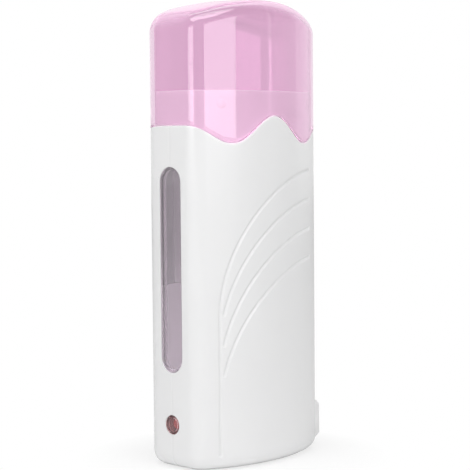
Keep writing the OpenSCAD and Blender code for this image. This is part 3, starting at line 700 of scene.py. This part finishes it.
def whole_body():
    """Both shells in one, with their openings and relief lines, before they part at the seam."""
    screws = [(x, SCREW_Z) for x in (-SCREW_X, SCREW_X)]
    mesh = carved(loft(body_rings()), inlet_collar(), "UNION")
    mesh = carved(mesh, joined(*[rod("Y", BOSS_D / 2, 0.6, 20, at) for at in screws]), "UNION")
    inside = -FACE_X + WALL + 1
    inlet = [(FACE_X - FOOT_R - 1, y, z) for y, z in round_rect(INLET_W, INLET_H, INLET_R, INLET_Z)]
    bore = [(-1, 0), (-1, SCREW_HOLE_R), (SCREW_SEAT, SCREW_HOLE_R), (SCREW_SEAT, SCREW_HEAD_R),
            (FAR, SCREW_HEAD_R), (FAR, 0)]
    openings = [slot_prism(WINDOW_W, WINDOW_Z, WINDOW_TOP, -FAR, inside, 20),
                rod("X", PILOT_D / 2, -FAR, inside, (0, PILOT_Z)),
                filled_prism(inlet, (20, 0, 0)),
                *[turned(bore, "Y", at) for at in screws]]
    mesh = carved(mesh, joined(*openings))
    press_lines(mesh)
    return mesh


def half_of(mesh, side):
    """The half of the body on one side of the seam, closed there and eased along its outer edge."""
    half = mesh.copy()
    bmesh.ops.bisect_plane(half, geom=half.verts[:] + half.edges[:] + half.faces[:], dist=1e-4,
                           plane_co=(0, 0, 0), plane_no=(0, side, 0), clear_inner=True)
    rim = [e for e in half.edges if e.is_boundary]
    bmesh.ops.edgeloop_fill(half, edges=rim)
    bmesh.ops.recalc_face_normals(half, faces=half.faces)

    def at_outside(point):
        """Whether a place on the seam is within half a millimetre of the outside."""
        if point.z < FOOT_R and abs(point.x) < FACE_X + 0.1:
            from_centre = Vector((max(0.0, abs(point.x) - (FACE_X - FOOT_R)), point.z - FOOT_R)).length
            return from_centre > FOOT_R - 0.5
        return abs(point.x) > FACE_X - 0.5

    outer = [e for e in half.edges if all(abs(v.co.y) < 1e-3 and at_outside(v.co) for v in e.verts)
             and e.calc_face_angle(0) > 1]
    bevel(half, outer, 0.13)
    return half


def nubs(side):
    """Round grip nubs on the neck, which the cap snaps over."""
    made = []
    a = math.asin(NUB_X / WIDE_R)
    reach = WIDE_R - NECK_OUT - NUB_R + NUB_H
    for way in (-1, 1):
        place = Vector((way * reach * math.sin(a), side * (WIDE_C.y + reach * math.cos(a)), NECK_TOP - 5))
        out = Vector((way * math.sin(a), side * math.cos(a), 0))
        ball = bmesh.new()
        bmesh.ops.create_uvsphere(ball, u_segments=96, v_segments=48, radius=NUB_R)
        bmesh.ops.translate(ball, verts=ball.verts, vec=place)
        bmesh.ops.bisect_plane(ball, geom=ball.verts[:] + ball.edges[:] + ball.faces[:],
                               plane_co=place + out * (NUB_R - 0.5), plane_no=out, clear_inner=True)
        bmesh.ops.edgeloop_fill(ball, edges=[e for e in ball.edges if e.is_boundary])
        made.append(ball)
    return made


whole = whole_body()
for side, name in ((-1, "front_shell"), (1, "rear_shell")):
    moulding = joined(half_of(whole, side), *nubs(side))
    piece(name + "_moulding", moulding, WHITE, "body", [name])
whole.free()


# ---------------------------------------------------------------- cap
def cap_rings():
    """The cap as one closed skin: its inside from the middle down, the wavy rim and its outside."""
    edge, seam = 0.4, SEAM / 2

    def dome(inset, steps):
        """The crowned top at an inset, from its middle out and down round its edge."""
        r = CAP_EDGE_R - inset
        rows = [ring(inset + r, lambda p: crown(p) - inset, k / 14) for k in range(1, 15)]
        return rows + [ring(inset + r * across, lambda p, down=down: crown(p) - inset - r * down)
                       for down, across in quarter_turn(range(steps - 1, -1, -1), steps)]

    def sides(inset):
        """The sides at an inset, from the crown's edge down to the rim."""
        r, rows = CAP_EDGE_R - inset, 30
        return [ring(inset, lambda p, i=i: part_way(crown(p) - inset - r, wave(p.x) + seam + edge, i, rows))
                for i in range(1, rows)]

    rim = []
    for i in range(9):
        t = math.pi * i / 8
        centre = CAP_WALL - edge if i < 4 else edge
        inset = CAP_WALL / 2 if i == 4 else centre + edge * math.cos(t)
        rim.append(ring(inset, lambda p, t=t: wave(p.x) + seam + edge * (1 - math.sin(t))))
    outside = dome(0, 16) + sides(0)
    return dome(CAP_WALL, 12) + sides(CAP_WALL) + rim + outside[::-1]


piece("tinted_cap", loft(cap_rings()), PINK, "cap", ["cap"])


# ---------------------------------------------------------------- level window and pilot light
def face_at(y, inset):
    """X of the narrow face on the window's side at a distance from its middle."""
    return -(NARROW_C.x + math.sqrt((NARROW_R - inset) ** 2 - y * y))


def lens_ring(shrink, inset):
    """One ring of the window lens, drawn in from its outline and from the face."""
    width = WINDOW_W - 2 * LENS_GAP - 2 * shrink
    low, high = WINDOW_Z + LENS_GAP + shrink, WINDOW_TOP - LENS_GAP - shrink
    return [Vector((face_at(y, inset), y, z)) for y, z in obround(width, low, high)]


def window_lens():
    """The lens: a clear pane in the shell's slot, with a rim and a flange that stand back from it."""
    middle, lip, r = (WINDOW_W - 2 * LENS_GAP) / 2 - 0.05, LENS_BACK - LENS_RIM, 0.12
    front = [(shrink, LENS_GAP) for shrink in (middle, 4, 2.5, 1.2, 0.3)]
    edge = [(0.3 * (1 - math.sin(t)), LENS_GAP + 0.3 * (1 - math.cos(t)))
            for t in (0.4, 0.8, 1.2, math.pi / 2)]
    flange = [(0, lip), (r - LENS_FLANGE, lip), (-LENS_FLANGE, lip + r), (-LENS_FLANGE, LENS_BACK - r),
              (r - LENS_FLANGE, LENS_BACK), (LENS_RIM - r, LENS_BACK), (LENS_RIM, LENS_BACK - r),
              (LENS_RIM, LENS_T + 0.2), (LENS_RIM + 0.2, LENS_T)]
    back = [(shrink, LENS_T) for shrink in (2.5, 4, middle)]
    return loft([lens_ring(*at) for at in front + edge + flange + back])


def pilot_window():
    """The pilot light's lens: a shallow dome with a rim, hollow behind for the lamp."""
    face, r = -FACE_X + 0.1, PILOT_D / 2 - 0.1
    profile = [(face, 0), (face, r - 1.1), (face + 0.05, r - 0.9), (face + 0.25, r - 0.75),
               (face + 0.25, r - 0.45), (face + 0.02, r - 0.3), (face + 0.05, r - 0.1), (face + 0.2, r),
               (-FACE_X + 2.1, r), (-FACE_X + 2.1, r + 1), (-FACE_X + 3, r + 1), (-FACE_X + 3, 2.8),
               (-FACE_X + 1.6, 2.8), (-FACE_X + 1.5, 2.6), (-FACE_X + 1.5, 0)]
    return turned(profile, "X", (0, PILOT_Z))


piece("level_window", window_lens(), SMOKE, "body", ["window_lens"])
piece("pilot_cover", pilot_window(), ROSE, "body", ["pilot_lens"])


# ---------------------------------------------------------------- cartridge bay
def sleeve():
    """The tube that a cartridge stands in: a floor, a flange under the neck's rim and its openings."""
    top, floor, shelf = BAY_TOP, BAY_FLOOR, SHELF_TOP
    wall = [(SLEEVE_OUT + 0.4, shelf), (SLEEVE_OUT + 0.1, shelf + 0.1), (SLEEVE_OUT, shelf + 0.4)]
    wall += [(SLEEVE_OUT, part_way(shelf + 1, top - 2, k, 24)) for k in range(25)]
    flange = [(SLEEVE_OUT, top - 1.6), (SLEEVE_OUT - 0.1, top - 1.45), (NECK_IN + 0.3, top - 1.4),
              (NECK_IN + 0.15, top - 1.25), (NECK_IN + 0.15, top - 0.3), (NECK_IN + 0.4, top)]
    mouth = [(BAY_INSET - 0.5, top), (BAY_INSET - 0.15, top - 0.15), (BAY_INSET, top - 0.5)]
    inner = [(BAY_INSET, part_way(top - 1, floor + 1.5, k, 24)) for k in range(25)]
    foot = [(BAY_INSET, floor + 0.5), (BAY_INSET + 0.15, floor + 0.15), (BAY_INSET + 0.5, floor)]
    mesh = loft([ring(wall[0][0], shelf, k / 6) for k in range(1, 6)]
                + [ring(*at) for at in wall + flange + mouth + inner + foot]
                + [ring(foot[-1][0], floor, k / 6) for k in range(5, 0, -1)])
    w, low, high = PLATE_W / 2 + PLATE_GAP, PLATE_Z - PLATE_GAP, PLATE_Z + PLATE_H + PLATE_GAP
    windows = [box((-w, min(y, 5 * y), low), (w, max(y, 5 * y), high)) for y in (-PLATE_IN_Y, PLATE_IN_Y)]
    grow = BAY_INSET - LENS_BACK - LENS_GAP - LENS_RIM
    level = slot_prism(WINDOW_W + 2 * grow, WINDOW_Z - grow, WINDOW_TOP + grow, -FAR, 0, 32)
    return carved(mesh, joined(level, *windows))


def core(inset):
    """A closed prism of the body's section, taller than the warming plates."""
    low, high = PLATE_Z - 8, PLATE_Z + PLATE_H + 8
    return loft([ring(inset, low, 0.5), ring(inset, low), ring(inset, high), ring(inset, high, 0.5)])


def heat_plate(side):
    """A curved sheet that warms the cartridge's wide side, with a flat pad behind it for the heater."""
    middle = PLATE_Z + PLATE_H / 2
    outline = [(x, PLATE_IN_Y * side, z) for x, z in round_rect(PLATE_W, PLATE_H, 1.2, middle)]
    mesh = carved(filled_prism(outline, (0, 20 * side, 0)), core(BAY_INSET - PLATE_T), "INTERSECT")
    near, far = sorted((PLATE_IN_Y * side, PAD_Y * side))
    slots = [box((x - SLOT_W / 2, near - 2, PLATE_Z + SLOT_LOW), (x + SLOT_W / 2, far, PLATE_Z + SLOT_HIGH))
             for x in (-SLOT_X, SLOT_X)]
    mesh = carved(mesh, joined(*slots))
    pad = box((-PAD_W / 2, near, middle - PAD_H / 2), (PAD_W / 2, far, middle + PAD_H / 2), 0.35)
    return carved(carved(mesh, pad, "UNION"), core(BAY_INSET))


piece("bay_sleeve", sleeve(), SLEEVE, "body", ["cartridge_sleeve"])
piece("front_warming_plate", heat_plate(-1), PLATE, "body", ["front_heat_plate"])
piece("rear_warming_plate", heat_plate(1), PLATE, "body", ["rear_heat_plate"])


# ---------------------------------------------------------------- wires
def rounded_route(points):
    """The route with each of its corners turned into a smooth bend."""
    steps = 6
    route = [points[0]]
    for before, corner, after in zip(points, points[1:], points[2:]):
        start = corner + (before - corner).normalized() * BEND_R
        end = corner + (after - corner).normalized() * BEND_R
        for k in range(steps + 1):
            t = k / steps
            route.append(start.lerp(corner, t).lerp(corner.lerp(end, t), t))
    return route + [points[-1]]


def wire(points):
    """A round insulated wire along a route, closed at its ends."""
    route = rounded_route([Vector(p) for p in points])
    last = len(route) - 1
    turns = [math.tau * k / 16 for k in range(16)]
    rows, side = [], None
    for i, p in enumerate(route):
        ahead = (route[min(i + 1, last)] - route[max(i - 1, 0)]).normalized()
        side = (side - ahead * side.dot(ahead)).normalized() if side else ahead.orthogonal().normalized()
        other = ahead.cross(side)
        rows.append([p + (side * math.cos(a) + other * math.sin(a)) * WIRE_R for a in turns])
    ends = [[p.lerp(q, 0.5) for q in row] for p, row in ((route[0], rows[0]), (route[-1], rows[-1]))]
    return loft([ends[0]] + rows + [ends[1]])


def riser(x_side, y_side):
    """The last stretch of a heater's wire, up beside the bay to the element."""
    x, y = 5.4 * x_side, 17.85 * y_side
    return [(x, y - 2 * y_side, OVER_Z), (x, y, OVER_Z + 4), (x, y, 81)]


LIVE, NEUTRAL = "live", "neutral"
WIRES = {
    ("front_heater", LIVE): [(-11, -8.9, 22), (-13, -8.9, 22), (-12, -11.8, 23), *riser(-1, -1)],
    ("front_heater", NEUTRAL): [(4, 7.1, 22), (2, 7.1, 22), (1, 2, OVER_Z), (1, -4, OVER_Z),
                                *riser(1, -1)],
    ("rear_heater", LIVE): [(-11, -7.1, 22), (-13, -7.1, 22), (-12, -3, OVER_Z), (-12, 8, OVER_Z),
                            *riser(-1, 1)],
    ("rear_heater", NEUTRAL): [(4, 8.9, 22), (2, 8.9, 22), *riser(1, 1)],
}
for side, kind in ((-1, LIVE), (1, NEUTRAL)):
    WIRES["mains", kind] = [(19.75, 4.3 * side, 10.1), (17.75, 4.3 * side, 10.1), (15.6, 5.3 * side, 12.1),
                            (15.6, 8 * side, 19), (12, 8 * side, 22), (9, 8 * side, 22)]
    WIRES["board", kind] = [(-18.05, 6 * side, 8), (-16.05, 6 * side, 8), (-12.05, 7 * side, 3.8),
                            (14.75, 9 * side, 3.8), (20.75, 9 * side, 8.1), (20.75, 7.25 * side, 10.1),
                            (20.75, 5.25 * side, 10.1)]
STANDS_FOR = {"front_heater": "front_heater_leads", "rear_heater": "rear_heater_leads",
              "board": "board_leads"}
for (route, kind), points in WIRES.items():
    piece(f"{route}_{kind}_wire", wire(points), RED_WIRE if kind == LIVE else BLUE_WIRE,
          "body", [STANDS_FOR.get(route, kind + "_lead")])


# ---------------------------------------------------------------- stage, lamps and camera
# AMBIENT is how bright the surround is as a light; FLOOR_SHADE is how much of the floor's shadow shows
AMBIENT, FLOOR_SHADE = 0.405, 0.3
# the upright lamps' distance from the object's middle and the height of their upper edges, in metres
LAMP_DISTANCE, LAMP_TOP = 1.2, 0.6
# the photograph's width and the lens's focal length in its pixels, and the sensor's width in millimetres
PHOTO_PIXELS, FOCAL_PIXELS, SENSOR_W = 470, 1505.8, 36.0


def surround():
    """A world that is white to the eye, in gloss and through clear pieces, and dimmer as a light."""
    world = bpy.data.worlds.new("surround")
    world.use_nodes = True
    bpy.context.scene.world = world
    graph = Graph(world.node_tree)
    level = AMBIENT + graph.rays("Camera", "Transmission", "Glossy") * (1 - AMBIENT)
    ground = graph.node("ShaderNodeBackground", {}, {"Color": (1, 1, 1), "Strength": level})
    graph.node("ShaderNodeOutputWorld", {}, {"Surface": ground.outputs[0]})


def pale_floor():
    """A matt floor that keeps the shadow close to the object and is seen white elsewhere."""
    made = Finish("pale_floor")
    paint = made.node("ShaderNodeBsdfDiffuse", {}, {"Color": (0.9, 0.9, 0.9)})
    glow = made.node("ShaderNodeEmission", {}, {"Color": (1, 1, 1), "Strength": 1.0})
    away = made.node("ShaderNodeVectorMath", {"operation": "LENGTH"}, {0: made.place})
    near = 1 - Value(made, away.outputs["Value"]).between(0.032, 0.06)
    share = made.rays("Camera", "Transmission") * (1 - near * FLOOR_SHADE)
    made.show(made.node("ShaderNodeMixShader", {}, {0: share, 1: paint.outputs[0], 2: glow.outputs[0]}))

    mesh = bmesh.new()
    bmesh.ops.create_grid(mesh, x_segments=1, y_segments=1, size=3)
    data = bpy.data.meshes.new("floor")
    mesh.to_mesh(data)
    mesh.free()
    data.materials.append(made.material)
    floor = bpy.data.objects.new("floor", data)
    bpy.context.scene.collection.objects.link(floor)
    floor.location.z = -0.0002


def soft_lamp(name, wide, tall, power, place, turn):
    """A rectangular soft lamp, sized in metres, with its power in watts for each square metre."""
    data = bpy.data.lights.new(name, "AREA")
    data.shape, data.size, data.size_y = "RECTANGLE", wide, tall
    data.energy = power * data.size * data.size_y
    made = bpy.data.objects.new(name, data)
    bpy.context.scene.collection.objects.link(made)
    made.location, made.rotation_euler = place, turn


def upright(name, azimuth, width, low, power):
    """A lamp that stands round the object, from a low edge upwards.

    Azimuth 0 is +X and 90 is +Y, and both it and the width, as seen from the middle, are in degrees.
    """
    wide = 2 * LAMP_DISTANCE * math.tan(math.radians(width / 2))
    a = math.radians(azimuth)
    place = (LAMP_DISTANCE * math.cos(a), LAMP_DISTANCE * math.sin(a), (low + LAMP_TOP) / 2)
    soft_lamp(name, wide, LAMP_TOP - low, power, place, (math.pi / 2, 0, a + math.pi / 2))


def overhead(name, right, ahead, height, wide, deep, power):
    """A flat lamp over the object, placed and turned as the camera sees it."""
    side = math.sqrt(0.5)
    place = ((right + ahead) * side, (ahead - right) * side, height)
    soft_lamp(name, wide, deep, power, place, (0, 0, -math.pi / 4))


def photo_camera():
    """The camera found from the photograph: its place, its slight roll and its focal length."""
    distance, side, height = 578.92, 0.136, 120.07
    heading, pitch, roll = (math.radians(angle) for angle in (45.21, 3.413, -0.491))
    right = Vector((math.cos(heading), -math.sin(heading), 0))
    ahead = Vector((math.sin(heading), math.cos(heading), 0))
    up = Vector((0, 0, 1))
    look = ahead * math.cos(pitch) - up * math.sin(pitch)
    lift = up * math.cos(pitch) + ahead * math.sin(pitch)
    x = right * math.cos(roll) + lift * math.sin(roll)
    y = lift * math.cos(roll) - right * math.sin(roll)
    data = bpy.data.cameras.new("camera")
    data.sensor_width, data.lens = SENSOR_W, FOCAL_PIXELS / PHOTO_PIXELS * SENSOR_W
    data.clip_start, data.clip_end = 0.01, 20
    made = bpy.data.objects.new("camera", data)
    bpy.context.scene.collection.objects.link(made)
    place = (right * side - ahead * distance + up * height) * MM
    turn = Matrix((x, y, -look)).transposed().to_4x4()
    made.matrix_world = Matrix.Translation(place) @ turn
    bpy.context.scene.camera = made


bpy.context.scene.view_settings.view_transform = "Standard"
cycles = bpy.context.scene.cycles
cycles.max_bounces = cycles.glossy_bounces = cycles.transmission_bounces = 128
cycles.diffuse_bounces = 16
surround()
pale_floor()
upright("key_softbox", azimuth=263.75, width=33.5, low=0.125, power=9.4)
upright("side_softbox", azimuth=182.5, width=25, low=0.13, power=11)
upright("strip_softbox", azimuth=311, width=2.8, low=0.02, power=1.8)
upright("right_softbox", azimuth=352, width=21, low=0.02, power=0.9)
overhead("top_softbox", right=-0.11, ahead=-0.33, height=1.0, wide=1.02, deep=0.5, power=12)
photo_camera()

CAD_FINISHES = {
    WHITE: ["inlet_insert"],
    BRASS: ["inlet_pins"],
    STEEL: ["shell_screws"],
    CASE: ["thermal_fuse"],
    SHRINK: ["wire_splices"],
    SPRING: ["front_spring_clip", "rear_spring_clip"],
    solder_mask(): ["circuit_board"],
    banded_part(): ["board_resistor"],
    cathode_part(): ["board_diode"],
    lamp_body(): ["pilot_led"],
    fired_ceramic(): ["front_heating_element", "rear_heating_element"],
    amber_film(): ["front_insulating_film", "rear_insulating_film"],
}
for finish, names in CAD_FINISHES.items():
    for name in names:
        nodes[name].data.materials.clear()
        nodes[name].data.materials.append(finish)
